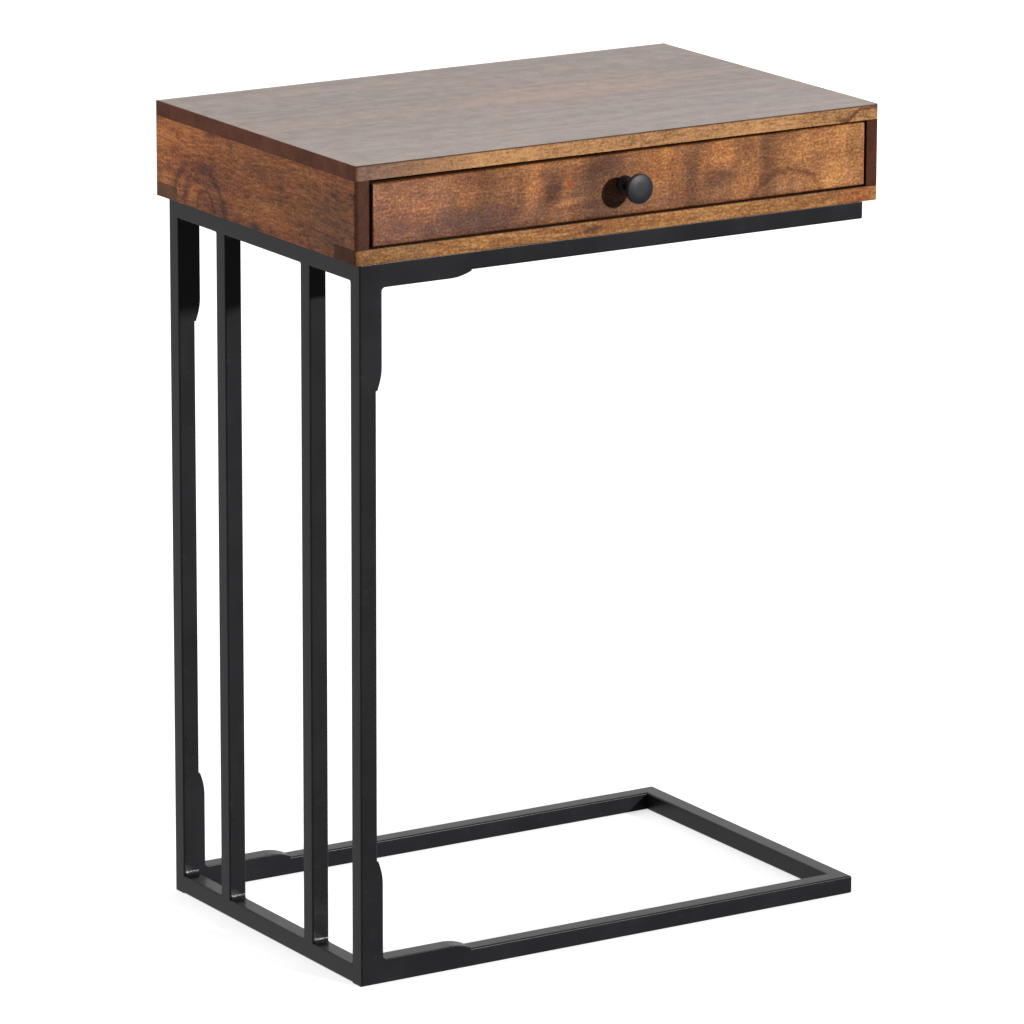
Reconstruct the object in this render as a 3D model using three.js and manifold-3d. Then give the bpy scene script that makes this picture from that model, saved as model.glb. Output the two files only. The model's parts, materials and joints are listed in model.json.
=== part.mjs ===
// Side table with one drawer: a shallow solid-wood case that holds an inset drawer, carried on a C-shaped
// frame of square steel tube whose base runs back under the case.
//
// Millimetres. +X runs to the open end of the C, +Y to the back and +Z up. The origin is on the floor, in the
// middle of the table's outline, drawer knob included.
import * as THREE from "three";
import { mergeVertices } from "three/addons/utils/BufferGeometryUtils.js";
import Module from "manifold-3d";

const wasm = await Module();
wasm.setup();

// ---------------------------------------------------------------- driving dimensions
// Case
const CASE_WIDTH = 487;
const CASE_DEPTH = 316;
const CASE_HEIGHT = 78;
const TABLE_HEIGHT = 660;
const BOARD = 12; // thickness of the case's boards
const FRONT_RAIL_DEPTH = 33; // flat boards that close the case's underside, front and rear
const REAR_RAIL_DEPTH = 36;
const RUNNER_WIDTH = 30;

// Drawer
const DRAWER_GAP_LEFT = 3; // what shows round the inset front
const DRAWER_GAP_RIGHT = 1.5;
const DRAWER_GAP_TOP_LEFT = 3.5; // the top gap narrows to the right
const DRAWER_GAP_TOP_RIGHT = 1.5;
const DRAWER_GAP_BOTTOM = 1.5;
const DRAWER_FRONT = 12; // thicknesses
const DRAWER_SIDE = 10;
const DRAWER_BACK = 10;
const DRAWER_BOTTOM = 4;
const SIDE_RELIEF = 4; // how far the sides stop below the middle of the front's top edge
const BACK_RELIEF = 6;
const GROOVE_DEPTH = 5; // the bottom's grooves in the front and sides
const GROOVE_HEIGHT = 4.5; // underside of the sides to the underside of the bottom
const SLIDE_CLEARANCE = 0.5; // drawer sides above the runners, drawer back to its stops
const FIT_GAP = 0.3; // between pieces that are let into, welded or screwed to each other

// Blocks that stop the drawer
const STOP_WIDTH = 20;
const STOP_DEPTH = 18.5; // back panel to the stopped drawer
const STOP_HEIGHT = 15;
const CATCH_WIDTH = 60;
const CATCH_DEPTH = 20;
const CATCH_HEIGHT = 12;
const CATCH_SETBACK = 22.5; // behind the closed drawer front

// Knob
const KNOB_PROJECTION = 25;
const KNOB_RADIUS = 12;
const KNOB_FLANGE_RADIUS = 7.25;
const KNOB_NECK_RADIUS = 4;
const KNOB_DOME = 3; // how far the head's face swells beyond its rim
const KNOB_BORE_DEPTH = 14;

// Frame
const TUBE = 15;
const TUBE_WALL = 1.5;
const TUBE_CORNER = 1.5; // outside corner radius
const FRAME_INSET_LEFT = 5; // case edge to frame, each way
const FRAME_INSET_RIGHT = 13;
const FRAME_INSET_FRONT = 3;
const FRAME_INSET_BACK = 13;
const INNER_POST_OFFSET = 66.5; // inner posts, each side of the frame's middle

// Corner braces: flat bar bent into the inner corners of the C
const BRACE_THICKNESS = 5;
const BRACE_LEG = 86;
const BRACE_BEND = 3.5; // inside radius
const BRACE_TAPER = 10; // length of the feathered ends
const BRACE_TIP = 1; // thickness left at the very end

// Tabs that the case is screwed to
const TAB_THICKNESS = 2;
const TAB_WIDTH = 14;
const TAB_LENGTH = 30;
const TAB_SETBACK = 42; // frame front or back to the near end of a tab

// Screws: thread, head and head height, with the hole that each passes through
const WOOD_SCREW = { radius: 1.75, length: 11, head: 3.5, headHeight: 2.2 };
const CATCH_SCREW = { radius: 1.5, length: 18, head: 3, headHeight: 1.8 };
const KNOB_SCREW = { radius: 2, length: 23, head: 4, headHeight: 2.6 };
const WASHER_RADIUS = 5;
const WASHER_THICKNESS = 1;
const ROUND_STEPS = 24;

// ---------------------------------------------------------------- levels and places worked out from them
const caseBottom = TABLE_HEIGHT - CASE_HEIGHT;
const runnerTop = caseBottom + BOARD;
const topBoardUnder = TABLE_HEIGHT - BOARD;
const insideLeft = BOARD;
const insideRight = CASE_WIDTH - BOARD;
const backPanelFront = CASE_DEPTH - BOARD;

const drawerLeft = insideLeft + DRAWER_GAP_LEFT;
const drawerRight = insideRight - DRAWER_GAP_RIGHT;
const drawerFrontBottom = runnerTop + DRAWER_GAP_BOTTOM;
const drawerTopLeft = topBoardUnder - DRAWER_GAP_TOP_LEFT;
const drawerTopRight = topBoardUnder - DRAWER_GAP_TOP_RIGHT;
const drawerTopMiddle = (drawerTopLeft + drawerTopRight) / 2;
const drawerLength = backPanelFront - STOP_DEPTH - SLIDE_CLEARANCE;
const drawerSideBottom = runnerTop + SLIDE_CLEARANCE;
const drawerSideTop = drawerTopMiddle - SIDE_RELIEF;
const drawerBackFront = drawerLength - DRAWER_BACK;
const drawerBottomUnder = drawerSideBottom + GROOVE_HEIGHT;
const drawerBottomTop = drawerBottomUnder + DRAWER_BOTTOM;
const knobX = (drawerLeft + drawerRight) / 2;
const knobZ = (drawerFrontBottom + drawerTopMiddle) / 2;

const frameLeft = FRAME_INSET_LEFT;
const frameRight = CASE_WIDTH - FRAME_INSET_RIGHT;
const frameFront = FRAME_INSET_FRONT;
const frameBack = CASE_DEPTH - FRAME_INSET_BACK;
const frameMiddle = (frameFront + frameBack) / 2;
const frameTop = caseBottom;
const railUnder = frameTop - TUBE;

// ---------------------------------------------------------------- looks
const finish = (color, roughness, metalness = 0) =>
  new THREE.MeshStandardMaterial({ color, roughness, metalness });
const walnutTop = finish(0x8a7060, 0.42);
const warmWood = finish(0x8f5f3c, 0.45);
const paleWood = finish(0xb08a5c, 0.6);
const ply = finish(0xc2a077, 0.65);
const blackSteel = finish(0x232325, 0.5, 0.3);
const blackKnob = finish(0x121214, 0.3, 0.4);
const zinc = finish(0xa9abad, 0.35, 1);

// ---------------------------------------------------------------- shaping helpers
const table = new THREE.Group();
table.position.set(-CASE_WIDTH / 2, -(CASE_DEPTH - KNOB_PROJECTION) / 2, 0);

function add(name, geometry, material) {
  const mesh = new THREE.Mesh(geometry, material);
  mesh.name = name;
  table.add(mesh);
  return mesh;
}

// A board or block between two values along each axis.
function block([x0, x1], [y0, y1], [z0, z1]) {
  const geometry = new THREE.BoxGeometry(x1 - x0, y1 - y0, z1 - z0);
  return geometry.translate((x0 + x1) / 2, (y0 + y1) / 2, (z0 + z1) / 2);
}

function outline(points) {
  return new THREE.Shape(points.map(([a, b]) => new THREE.Vector2(a, b)));
}

function extruded(shape, length) {
  return new THREE.ExtrudeGeometry(shape, { depth: length, bevelEnabled: false, curveSegments: 4 });
}

// An outline in Y and Z, pushed out along X from x0.
function alongX(shape, x0, length) {
  const turn = new THREE.Matrix4().makeBasis(
    new THREE.Vector3(0, 1, 0),
    new THREE.Vector3(0, 0, 1),
    new THREE.Vector3(1, 0, 0),
  );
  return extruded(shape, length).applyMatrix4(turn).translate(x0, 0, 0);
}

// An outline in X and Z, pushed out along Y from y0.
function alongY(shape, y0, length) {
  return extruded(shape, length).rotateX(Math.PI / 2).translate(0, y0 + length, 0);
}

function round(radius, length) {
  return new THREE.CylinderGeometry(radius, radius, length, ROUND_STEPS);
}

// A profile of [radius, height] points turned about +Z.
function turned(profile) {
  return new THREE.LatheGeometry(
    profile.map(([r, h]) => new THREE.Vector2(r, h)),
    ROUND_STEPS,
  ).rotateX(Math.PI / 2);
}

function toSolid(geometry) {
  const bare = geometry.clone();
  bare.deleteAttribute("normal");
  bare.deleteAttribute("uv");
  const merged = mergeVertices(bare, 1e-4);
  return new wasm.Manifold(
    new wasm.Mesh({
      numProp: 3,
      vertProperties: new Float32Array(merged.attributes.position.array),
      triVerts: new Uint32Array(merged.index.array),
    }),
  );
}

function toGeometry(solid) {
  const mesh = solid.getMesh();
  return new THREE.BufferGeometry()
    .setAttribute("position", new THREE.BufferAttribute(mesh.vertProperties, 3))
    .setIndex(new THREE.BufferAttribute(mesh.triVerts, 1));
}

function cut(geometry, ...tools) {
  return toGeometry(tools.reduce((body, tool) => body.subtract(toSolid(tool)), toSolid(geometry)));
}

// ---------------------------------------------------------------- fasteners
// A headed screw with its head's underside at height 0, the thread above it and the head below.
function screwProfile({ radius, length, head, headHeight }) {
  return [
    [0, -headHeight],
    [head * 0.75, -headHeight],
    [head, -headHeight * 0.4],
    [head, 0],
    [radius, 0],
    [radius, length - radius],
    [radius * 0.3, length],
    [0, length],
  ];
}

// ---------------------------------------------------------------- case
function sidePanel() {
  const rear = CASE_DEPTH - REAR_RAIL_DEPTH;
  return outline([
    [FRONT_RAIL_DEPTH, caseBottom],
    [rear, caseBottom],
    [rear, runnerTop],
    [CASE_DEPTH, runnerTop],
    [CASE_DEPTH, topBoardUnder],
    [0, topBoardUnder],
    [0, runnerTop],
    [FRONT_RAIL_DEPTH, runnerTop],
  ]);
}

// Where the four frame tabs take their screws: X, Y and which side of the case.
const tabs = [];
for (const [side, edge, inward] of [
  ["left", frameLeft + TUBE + FIT_GAP, 1],
  ["right", frameRight - TUBE - FIT_GAP, -1],
]) {
  for (const [end, y] of [
    ["front", frameFront + TAB_SETBACK + TAB_LENGTH / 2],
    ["rear", frameBack - TAB_SETBACK - TAB_LENGTH / 2],
  ]) {
    tabs.push({ name: end + "_" + side, side, x: edge + (inward * TAB_WIDTH) / 2, y });
  }
}

function runner(side, x0) {
  const blank = block(
    [x0, x0 + RUNNER_WIDTH],
    [FRONT_RAIL_DEPTH, CASE_DEPTH - REAR_RAIL_DEPTH],
    [caseBottom, runnerTop],
  );
  const depth = WOOD_SCREW.length - TAB_THICKNESS + 2 * FIT_GAP;
  const pilots = tabs
    .filter((tab) => tab.side === side)
    .map(({ x, y }) =>
      round(WOOD_SCREW.radius + FIT_GAP, 2 * depth).rotateX(Math.PI / 2).translate(x, y, caseBottom),
    );
  return cut(blank, ...pilots);
}

// The open drawer's back meets the catch block's rear face, which leaves 220 mm of travel.
const catchFront = DRAWER_FRONT + CATCH_SETBACK;
const catchRear = catchFront + CATCH_DEPTH;
const catchY = catchFront + CATCH_DEPTH / 2;
const catchUnder = topBoardUnder - CATCH_HEIGHT;
const catchScrews = [
  ["left", knobX - CATCH_WIDTH / 4],
  ["right", knobX + CATCH_WIDTH / 4],
];

function catchHole(x) {
  const length = CATCH_SCREW.length + FIT_GAP;
  const hole = round(CATCH_SCREW.radius + FIT_GAP, 2 * length).rotateX(Math.PI / 2);
  return hole.translate(x, catchY, catchUnder);
}

function buildCase() {
  const holes = catchScrews.map(([, x]) => catchHole(x));
  const across = [insideLeft, insideRight];
  add(
    "top_board",
    cut(block([0, CASE_WIDTH], [0, CASE_DEPTH], [topBoardUnder, TABLE_HEIGHT]), ...holes),
    walnutTop,
  );
  add("left_side_panel", alongX(sidePanel(), 0, BOARD), warmWood);
  add("right_side_panel", alongX(sidePanel(), insideRight, BOARD), warmWood);
  add("back_panel", block(across, [backPanelFront, CASE_DEPTH], [runnerTop, topBoardUnder]), warmWood);
  const under = [caseBottom, runnerTop];
  const rearRail = [CASE_DEPTH - REAR_RAIL_DEPTH, CASE_DEPTH];
  add("front_bottom_rail", block([0, CASE_WIDTH], [0, FRONT_RAIL_DEPTH], under), warmWood);
  add("rear_bottom_rail", block([0, CASE_WIDTH], rearRail, under), warmWood);
  add("left_runner", runner("left", insideLeft), paleWood);
  add("right_runner", runner("right", insideRight - RUNNER_WIDTH), paleWood);

  const stopDepth = [backPanelFront - STOP_DEPTH, backPanelFront];
  const stopHeight = [runnerTop, runnerTop + STOP_HEIGHT];
  add("left_stop_block", block([insideLeft, insideLeft + STOP_WIDTH], stopDepth, stopHeight), paleWood);
  add("right_stop_block", block([insideRight - STOP_WIDTH, insideRight], stopDepth, stopHeight), paleWood);
  const catchSpan = [knobX - CATCH_WIDTH / 2, knobX + CATCH_WIDTH / 2];
  const catchBlank = block(catchSpan, [catchFront, catchRear], [catchUnder, topBoardUnder]);
  add("catch_block", cut(catchBlank, ...holes), paleWood);
  for (const [side, x] of catchScrews) {
    const screw = turned(screwProfile(CATCH_SCREW)).translate(x, catchY, catchUnder);
    add("catch_screw_" + side, screw, zinc);
  }
}

// ---------------------------------------------------------------- drawer
// A side's section in X and Z, with the groove for the bottom facing the drawer's inside.
function drawerSide(outer, inward) {
  const inner = outer + inward * DRAWER_SIDE;
  const grooveEnd = inner - inward * GROOVE_DEPTH;
  const points = [
    [outer, drawerSideBottom],
    [inner, drawerSideBottom],
    [inner, drawerBottomUnder - FIT_GAP],
    [grooveEnd, drawerBottomUnder - FIT_GAP],
    [grooveEnd, drawerBottomTop + FIT_GAP],
    [inner, drawerBottomTop + FIT_GAP],
    [inner, drawerSideTop],
    [outer, drawerSideTop],
  ];
  return alongY(outline(points), DRAWER_FRONT, drawerLength - DRAWER_FRONT);
}

function buildDrawer() {
  const boxLeft = drawerLeft + DRAWER_SIDE;
  const boxRight = drawerRight - DRAWER_SIDE;
  const groove = block(
    [boxLeft - GROOVE_DEPTH, boxRight + GROOVE_DEPTH],
    [DRAWER_FRONT - GROOVE_DEPTH, DRAWER_FRONT + GROOVE_DEPTH],
    [drawerBottomUnder - FIT_GAP, drawerBottomTop + FIT_GAP],
  );
  const screwHole = round(KNOB_SCREW.radius + FIT_GAP, 3 * DRAWER_FRONT).translate(knobX, 0, knobZ);
  const frontOutline = outline([
    [drawerLeft, drawerFrontBottom],
    [drawerRight, drawerFrontBottom],
    [drawerRight, drawerTopRight],
    [drawerLeft, drawerTopLeft],
  ]);
  add("drawer_front", cut(alongY(frontOutline, 0, DRAWER_FRONT), groove, screwHole), warmWood);
  add("drawer_left_side", drawerSide(drawerLeft, 1), paleWood);
  add("drawer_right_side", drawerSide(drawerRight, -1), paleWood);
  add(
    "drawer_back",
    block(
      [boxLeft, boxRight],
      [drawerBackFront, drawerLength],
      [drawerBottomTop + FIT_GAP, drawerTopMiddle - BACK_RELIEF],
    ),
    paleWood,
  );
  const tongue = GROOVE_DEPTH - FIT_GAP;
  add(
    "drawer_bottom",
    block(
      [boxLeft - tongue, boxRight + tongue],
      [DRAWER_FRONT - tongue, drawerLength],
      [drawerBottomUnder, drawerBottomTop],
    ),
    ply,
  );
  buildKnob();
}

// The knob's turned profile, from the flange on the drawer front out to the middle of its domed face.
function knobProfile() {
  const bore = KNOB_SCREW.radius + FIT_GAP;
  const neck = KNOB_NECK_RADIUS;
  const rim = KNOB_RADIUS;
  const domeHeight = KNOB_DOME;
  const rimHeight = KNOB_PROJECTION - domeHeight;
  const dome = [];
  for (let step = 0; step <= 8; step++) {
    const angle = (step / 8) * (Math.PI / 2);
    dome.push([rim * Math.cos(angle), rimHeight + domeHeight * Math.sin(angle)]);
  }
  dome[dome.length - 1][0] = 0;
  return [
    [0, KNOB_BORE_DEPTH],
    [bore, KNOB_BORE_DEPTH],
    [bore, 0],
    [KNOB_FLANGE_RADIUS, 0],
    [KNOB_FLANGE_RADIUS, 2],
    [KNOB_FLANGE_RADIUS - 1, 3],
    [neck + 1, 3.5],
    [neck, 5],
    [neck, 9],
    [neck + 1, 12],
    [rim - 2, rimHeight - 2.5],
    [rim - 0.3, rimHeight - 1.4],
    ...dome,
  ];
}

function buildKnob() {
  const outward = (geometry, y) => geometry.rotateX(Math.PI / 2).translate(knobX, y, knobZ);
  add("knob", outward(turned(knobProfile()), 0), blackKnob);
  const bore = KNOB_SCREW.radius + FIT_GAP;
  const washer = [
    [bore, 0],
    [WASHER_RADIUS, 0],
    [WASHER_RADIUS, WASHER_THICKNESS],
    [bore, WASHER_THICKNESS],
    [bore, 0],
  ];
  const washerBack = DRAWER_FRONT + WASHER_THICKNESS;
  add("knob_washer", outward(turned(washer), washerBack), zinc);
  add("knob_screw", outward(turned(screwProfile(KNOB_SCREW)), washerBack), zinc);
}

// ---------------------------------------------------------------- frame
// A square tube's section about its own axis, with its bore as a hole.
function tubeSection() {
  const ring = (half, corner, Kind) => {
    const path = new Kind();
    const straight = half - corner;
    path.moveTo(half, -straight);
    path.lineTo(half, straight);
    path.absarc(straight, straight, corner, 0, Math.PI / 2);
    path.lineTo(-straight, half);
    path.absarc(-straight, straight, corner, Math.PI / 2, Math.PI);
    path.lineTo(-half, -straight);
    path.absarc(-straight, -straight, corner, Math.PI, Math.PI * 1.5);
    path.lineTo(straight, -half);
    path.absarc(straight, -straight, corner, Math.PI * 1.5, Math.PI * 2);
    return path;
  };
  const section = ring(TUBE / 2, TUBE_CORNER, THREE.Shape);
  section.holes.push(ring(TUBE / 2 - TUBE_WALL, TUBE_CORNER / 2, THREE.Path));
  return section;
}

// A length of tube from one point to another along a row axis. Each end may be mitred: the end's mitre is the
// direction in which the tube is at its full length, square to the tube.
function tube(name, from, to, startMitre = null, endMitre = null) {
  const start = new THREE.Vector3(...from);
  const axis = new THREE.Vector3(...to).sub(start);
  const length = axis.length();
  axis.normalize();
  const side = Math.abs(axis.z) > 0.5 ? new THREE.Vector3(1, 0, 0) : new THREE.Vector3(0, 0, 1);
  const third = new THREE.Vector3().crossVectors(axis, side);
  const geometry = extruded(tubeSection(), length);
  geometry.applyMatrix4(new THREE.Matrix4().makeBasis(side, third.negate(), axis.clone().negate()));
  geometry.translate(...axis.clone().multiplyScalar(length).toArray());

  const spot = geometry.getAttribute("position");
  const point = new THREE.Vector3();
  for (let i = 0; i < spot.count; i++) {
    point.fromBufferAttribute(spot, i);
    const atEnd = point.dot(axis) > length / 2;
    const mitre = atEnd ? endMitre : startMitre;
    if (mitre) {
      const short = TUBE / 2 - point.dot(new THREE.Vector3(...mitre)) + FIT_GAP / 2;
      point.addScaledVector(axis, atEnd ? -short : short);
      spot.setXYZ(i, point.x, point.y, point.z);
    }
  }
  geometry.translate(...start.toArray());
  return add(name, geometry, blackSteel);
}

function buildFrame() {
  const half = TUBE / 2;
  const left = frameLeft + half;
  const right = frameRight - half;
  const topLevel = frameTop - half;
  const up = [0, 0, 1];
  const down = [0, 0, -1];

  for (const [end, y, outward] of [
    ["front", frameFront + half, [0, -1, 0]],
    ["rear", frameBack - half, [0, 1, 0]],
  ]) {
    tube("top_" + end + "_rail", [frameLeft, y, topLevel], [frameRight, y, topLevel], up, outward);
    tube("base_" + end + "_rail", [frameLeft, y, half], [frameRight, y, half], down, outward);
    tube(end + "_post", [left, y, 0], [left, y, frameTop], [-1, 0, 0], [-1, 0, 0]);
  }
  for (const [level, z] of [
    ["top", topLevel],
    ["base", half],
  ]) {
    tube(level + "_right_rail", [right, frameFront, z], [right, frameBack, z], [1, 0, 0], [1, 0, 0]);
    const near = frameFront + TUBE + FIT_GAP;
    const far = frameBack - TUBE - FIT_GAP;
    tube(level + "_left_rail", [left, near, z], [left, far, z]);
  }
  for (const [end, y] of [
    ["front", frameMiddle - INNER_POST_OFFSET],
    ["rear", frameMiddle + INNER_POST_OFFSET],
  ]) {
    tube("inner_" + end + "_post", [left, y, TUBE + FIT_GAP], [left, y, railUnder - FIT_GAP]);
  }
  buildBraces();
  buildTabs();
}

// A brace's outline in X and Z for an upper corner: outer faces on the lines x = 0 and z = 0, legs along +X
// and -Z.
function braceOutline() {
  const thick = BRACE_THICKNESS;
  const bend = BRACE_BEND;
  const shape = new THREE.Shape();
  shape.moveTo(BRACE_LEG, 0);
  shape.lineTo(BRACE_LEG, -BRACE_TIP);
  shape.lineTo(BRACE_LEG - BRACE_TAPER, -thick);
  shape.lineTo(thick + bend, -thick);
  shape.absarc(thick + bend, -thick - bend, bend, Math.PI / 2, Math.PI, false);
  shape.lineTo(thick, -(BRACE_LEG - BRACE_TAPER));
  shape.lineTo(BRACE_TIP, -BRACE_LEG);
  shape.lineTo(0, -BRACE_LEG);
  shape.lineTo(0, -thick - bend);
  shape.absarc(thick + bend, -thick - bend, thick + bend, Math.PI, Math.PI / 2, true);
  return shape;
}

function buildBraces() {
  const x = frameLeft + TUBE + FIT_GAP;
  for (const [end, y] of [
    ["front", frameFront],
    ["rear", frameBack - TUBE],
  ]) {
    const upper = alongY(braceOutline(), y, TUBE).translate(x, 0, railUnder - FIT_GAP);
    add("upper_" + end + "_brace", upper, blackSteel);
    // The lower brace is the upper one turned over about the tube's own middle line.
    const lower = alongY(braceOutline(), -TUBE / 2, TUBE).rotateX(Math.PI);
    add("lower_" + end + "_brace", lower.translate(x, y + TUBE / 2, TUBE + FIT_GAP), blackSteel);
  }
}

function buildTabs() {
  for (const { name, x, y } of tabs) {
    const plate = block(
      [x - TAB_WIDTH / 2, x + TAB_WIDTH / 2],
      [y - TAB_LENGTH / 2, y + TAB_LENGTH / 2],
      [frameTop - TAB_THICKNESS, frameTop],
    );
    const hole = round(WOOD_SCREW.radius + FIT_GAP, 3 * TAB_THICKNESS).rotateX(Math.PI / 2);
    add("tab_" + name, cut(plate, hole.translate(x, y, frameTop)), blackSteel);
    const screw = turned(screwProfile(WOOD_SCREW)).translate(x, y, frameTop - TAB_THICKNESS);
    add("tab_screw_" + name, screw, zinc);
  }
}

buildCase();
buildDrawer();
buildFrame();

export default table;
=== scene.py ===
"""Side table with one drawer: a solid-wood case on a C-shaped frame of black square tube."""

import json
import math
from contextlib import contextmanager

import bmesh
import bpy
from mathutils import Matrix, Vector


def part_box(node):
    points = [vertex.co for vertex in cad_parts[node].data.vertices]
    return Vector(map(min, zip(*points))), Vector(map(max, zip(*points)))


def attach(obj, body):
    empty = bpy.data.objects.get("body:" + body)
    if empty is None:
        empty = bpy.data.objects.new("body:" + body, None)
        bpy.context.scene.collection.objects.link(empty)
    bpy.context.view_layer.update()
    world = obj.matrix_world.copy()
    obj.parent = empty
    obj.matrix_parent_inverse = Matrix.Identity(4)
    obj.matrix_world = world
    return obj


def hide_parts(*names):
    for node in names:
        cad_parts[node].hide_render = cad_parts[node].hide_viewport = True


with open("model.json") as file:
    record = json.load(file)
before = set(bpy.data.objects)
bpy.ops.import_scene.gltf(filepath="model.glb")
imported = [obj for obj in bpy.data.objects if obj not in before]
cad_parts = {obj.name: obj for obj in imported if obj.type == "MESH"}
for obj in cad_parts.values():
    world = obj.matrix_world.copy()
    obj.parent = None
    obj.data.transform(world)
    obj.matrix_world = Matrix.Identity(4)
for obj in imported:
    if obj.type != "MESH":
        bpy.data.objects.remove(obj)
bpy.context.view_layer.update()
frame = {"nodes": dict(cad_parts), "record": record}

MM = 0.001
NEAR = 0.05 * MM  # how close two places are to count as the same

# ------------------------------------------------------------------ sizes of the fine work
ARRIS = 1.5 * MM  # hand-rounded outer edges of the case
CORNER_ARRIS = 3.6 * MM  # its upright corners and rear edges are rounded a little more
SEAM_EASE = 0.25 * MM  # edges that meet another board
BLOCK_EASE = 0.6 * MM  # runners, stop blocks and the catch block
DRAWER_ARRIS = 1.6 * MM
DRAWER_FRONT_EASE = 0.5 * MM
DRAWER_SIDE_EASE = 0.3 * MM
DRAWER_SIDE_TOP = 1.5 * MM
DRAWER_PANEL_EASE = 0.4 * MM
GROOVE_DEPTH = 5 * MM
GROOVE_SLACK = 0.3 * MM
TUBE_CORNER = 1.5 * MM
FIT_GAP = 0.3 * MM  # what the frame's welds fill
WELD_LEG = 3.6 * MM
WELD_HOLLOW = 0.22  # how far out the middle of a weld's face stands, as a part of its leg
WELD_END_STEP = 0.5 * MM
BRACE_THICKNESS = 5 * MM
BRACE_BEND = 3.5 * MM
BRACE_TAPER = 11 * MM
BRACE_TIP = 1 * MM
BRACE_SHOULDER = 8 * MM
BRACE_ARRIS = 0.7 * MM


# ------------------------------------------------------------------ modelling helpers
def deselect():
    bpy.ops.object.select_all(action="DESELECT")


def activate(obj):
    deselect()
    obj.select_set(True)
    bpy.context.view_layer.objects.active = obj


@contextmanager
def editing(obj, mode="FACE"):
    """Edit mode on one object, with nothing selected to start with."""
    activate(obj)
    bpy.ops.object.mode_set(mode="EDIT")
    bpy.ops.mesh.select_mode(type=mode)
    bpy.ops.mesh.select_all(action="DESELECT")
    yield
    bpy.ops.object.mode_set(mode="OBJECT")


def pick(obj, kind, test):
    """Selects the faces, edges or verts of the edited mesh whose middle passes the test."""
    shape = bmesh.from_edit_mesh(obj.data)
    for part in getattr(shape, kind):
        if kind == "faces":
            chosen = test(part.calc_center_median(), part.normal)
        elif kind == "edges":
            chosen = test((part.verts[0].co + part.verts[1].co) / 2)
        else:
            chosen = test(part.co)
        part.select_set(bool(chosen))
    shape.select_flush_mode()
    bmesh.update_edit_mesh(obj.data)


def block(name, low, high):
    """A box between two corners, with its object at the origin."""
    low, high = Vector(low), Vector(high)
    deselect()
    bpy.ops.mesh.primitive_cube_add(size=1, location=(low + high) / 2)
    obj = bpy.context.object
    obj.name = obj.data.name = name
    obj.scale = high - low
    bpy.ops.object.transform_apply(location=True, rotation=True, scale=True)
    return obj


def smooth(obj, angle=30):
    """Shades curves smoothly and keeps the flat faces beside them flat."""
    activate(obj)
    bpy.ops.object.shade_smooth_by_angle(angle=math.radians(angle))
    flat = obj.modifiers.new("flat faces stay flat", "WEIGHTED_NORMAL")
    flat.keep_sharp = True
    flat.weight = 100
    bpy.ops.object.modifier_apply(modifier=flat.name)


def ease(obj, width=SEAM_EASE, angle=40, segments=2):
    """Eases every edge that is still sharp."""
    with editing(obj, "EDGE"):
        bpy.ops.mesh.edges_select_sharp(sharpness=math.radians(angle))
        bpy.ops.mesh.bevel(offset=width, segments=segments, profile=0.5)
    smooth(obj)


def round_edges(obj, test, width, segments=4):
    with editing(obj, "EDGE"):
        pick(obj, "edges", test)
        bpy.ops.mesh.bevel(offset=width, segments=segments, profile=0.5)


def cut_across(obj, *planes):
    """Cuts the mesh's faces along planes, each a point and a normal, and keeps both sides."""
    for point, normal in planes:
        with editing(obj):
            bpy.ops.mesh.select_all(action="SELECT")
            bpy.ops.mesh.bisect(plane_co=point, plane_no=normal)


def push_faces(obj, test, by):
    with editing(obj):
        pick(obj, "faces", test)
        bpy.ops.mesh.extrude_region_move(TRANSFORM_OT_translate={"value": by})


def drawn(name, points):
    """An open line through the points, drawn by extruding one vertex from each to the next."""
    deselect()
    bpy.ops.mesh.primitive_plane_add(size=MM, location=points[0])
    obj = bpy.context.object
    obj.name = obj.data.name = name
    bpy.ops.object.transform_apply(location=True, rotation=True, scale=True)
    with editing(obj, "VERT"):
        bpy.ops.mesh.select_all(action="SELECT")
        bpy.ops.mesh.merge(type="CENTER")
        for before, after in zip(points, points[1:]):
            step = Vector(after) - Vector(before)
            bpy.ops.mesh.extrude_region_move(TRANSFORM_OT_translate={"value": step})
    return obj


def close_up(obj):
    """Merges doubled points and turns every face outwards."""
    with editing(obj):
        bpy.ops.mesh.select_all(action="SELECT")
        bpy.ops.mesh.remove_doubles(threshold=0.002 * MM)
        bpy.ops.mesh.normals_make_consistent(inside=False)


def prism(name, points, sweep):
    """A solid with the drawn outline, swept straight."""
    obj = drawn(name, points)
    with editing(obj, "VERT"):
        bpy.ops.mesh.select_all(action="SELECT")
        bpy.ops.mesh.edge_face_add()
        bpy.ops.mesh.extrude_region_move(TRANSFORM_OT_translate={"value": sweep})
    close_up(obj)
    return obj


def turned(name, points, centre, axis, steps=64):
    """A solid spun from the drawn outline, as on a lathe."""
    obj = drawn(name, points)
    with editing(obj, "VERT"):
        bpy.ops.mesh.select_all(action="SELECT")
        bpy.ops.mesh.spin(steps=steps, angle=math.tau, center=centre, axis=axis)
    close_up(obj)
    return obj


def with_round_corners(outline, steps=5):
    """Replaces each corner (place, reach) of an open outline by a curve that starts and ends at its reach."""
    made = []
    for index, (corner, reach) in enumerate(outline):
        if not reach:
            made.append(corner)
            continue
        before = corner + (outline[index - 1][0] - corner).normalized() * reach
        after = corner + (outline[index + 1][0] - corner).normalized() * reach
        for step in range(steps + 1):
            t = step / steps
            made.append(before * (1 - t) ** 2 + corner * 2 * t * (1 - t) + after * t**2)
    return made


def placed(obj, location=(0, 0, 0), turn=(0, 0, 0)):
    """Turns and moves a piece, and leaves its object at the origin."""
    activate(obj)
    obj.rotation_euler = turn
    obj.location = location
    bpy.ops.object.transform_apply(location=True, rotation=True, scale=True)
    return obj


subparts = {part["node"]: part for part in frame["record"]["subparts"]}


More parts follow.
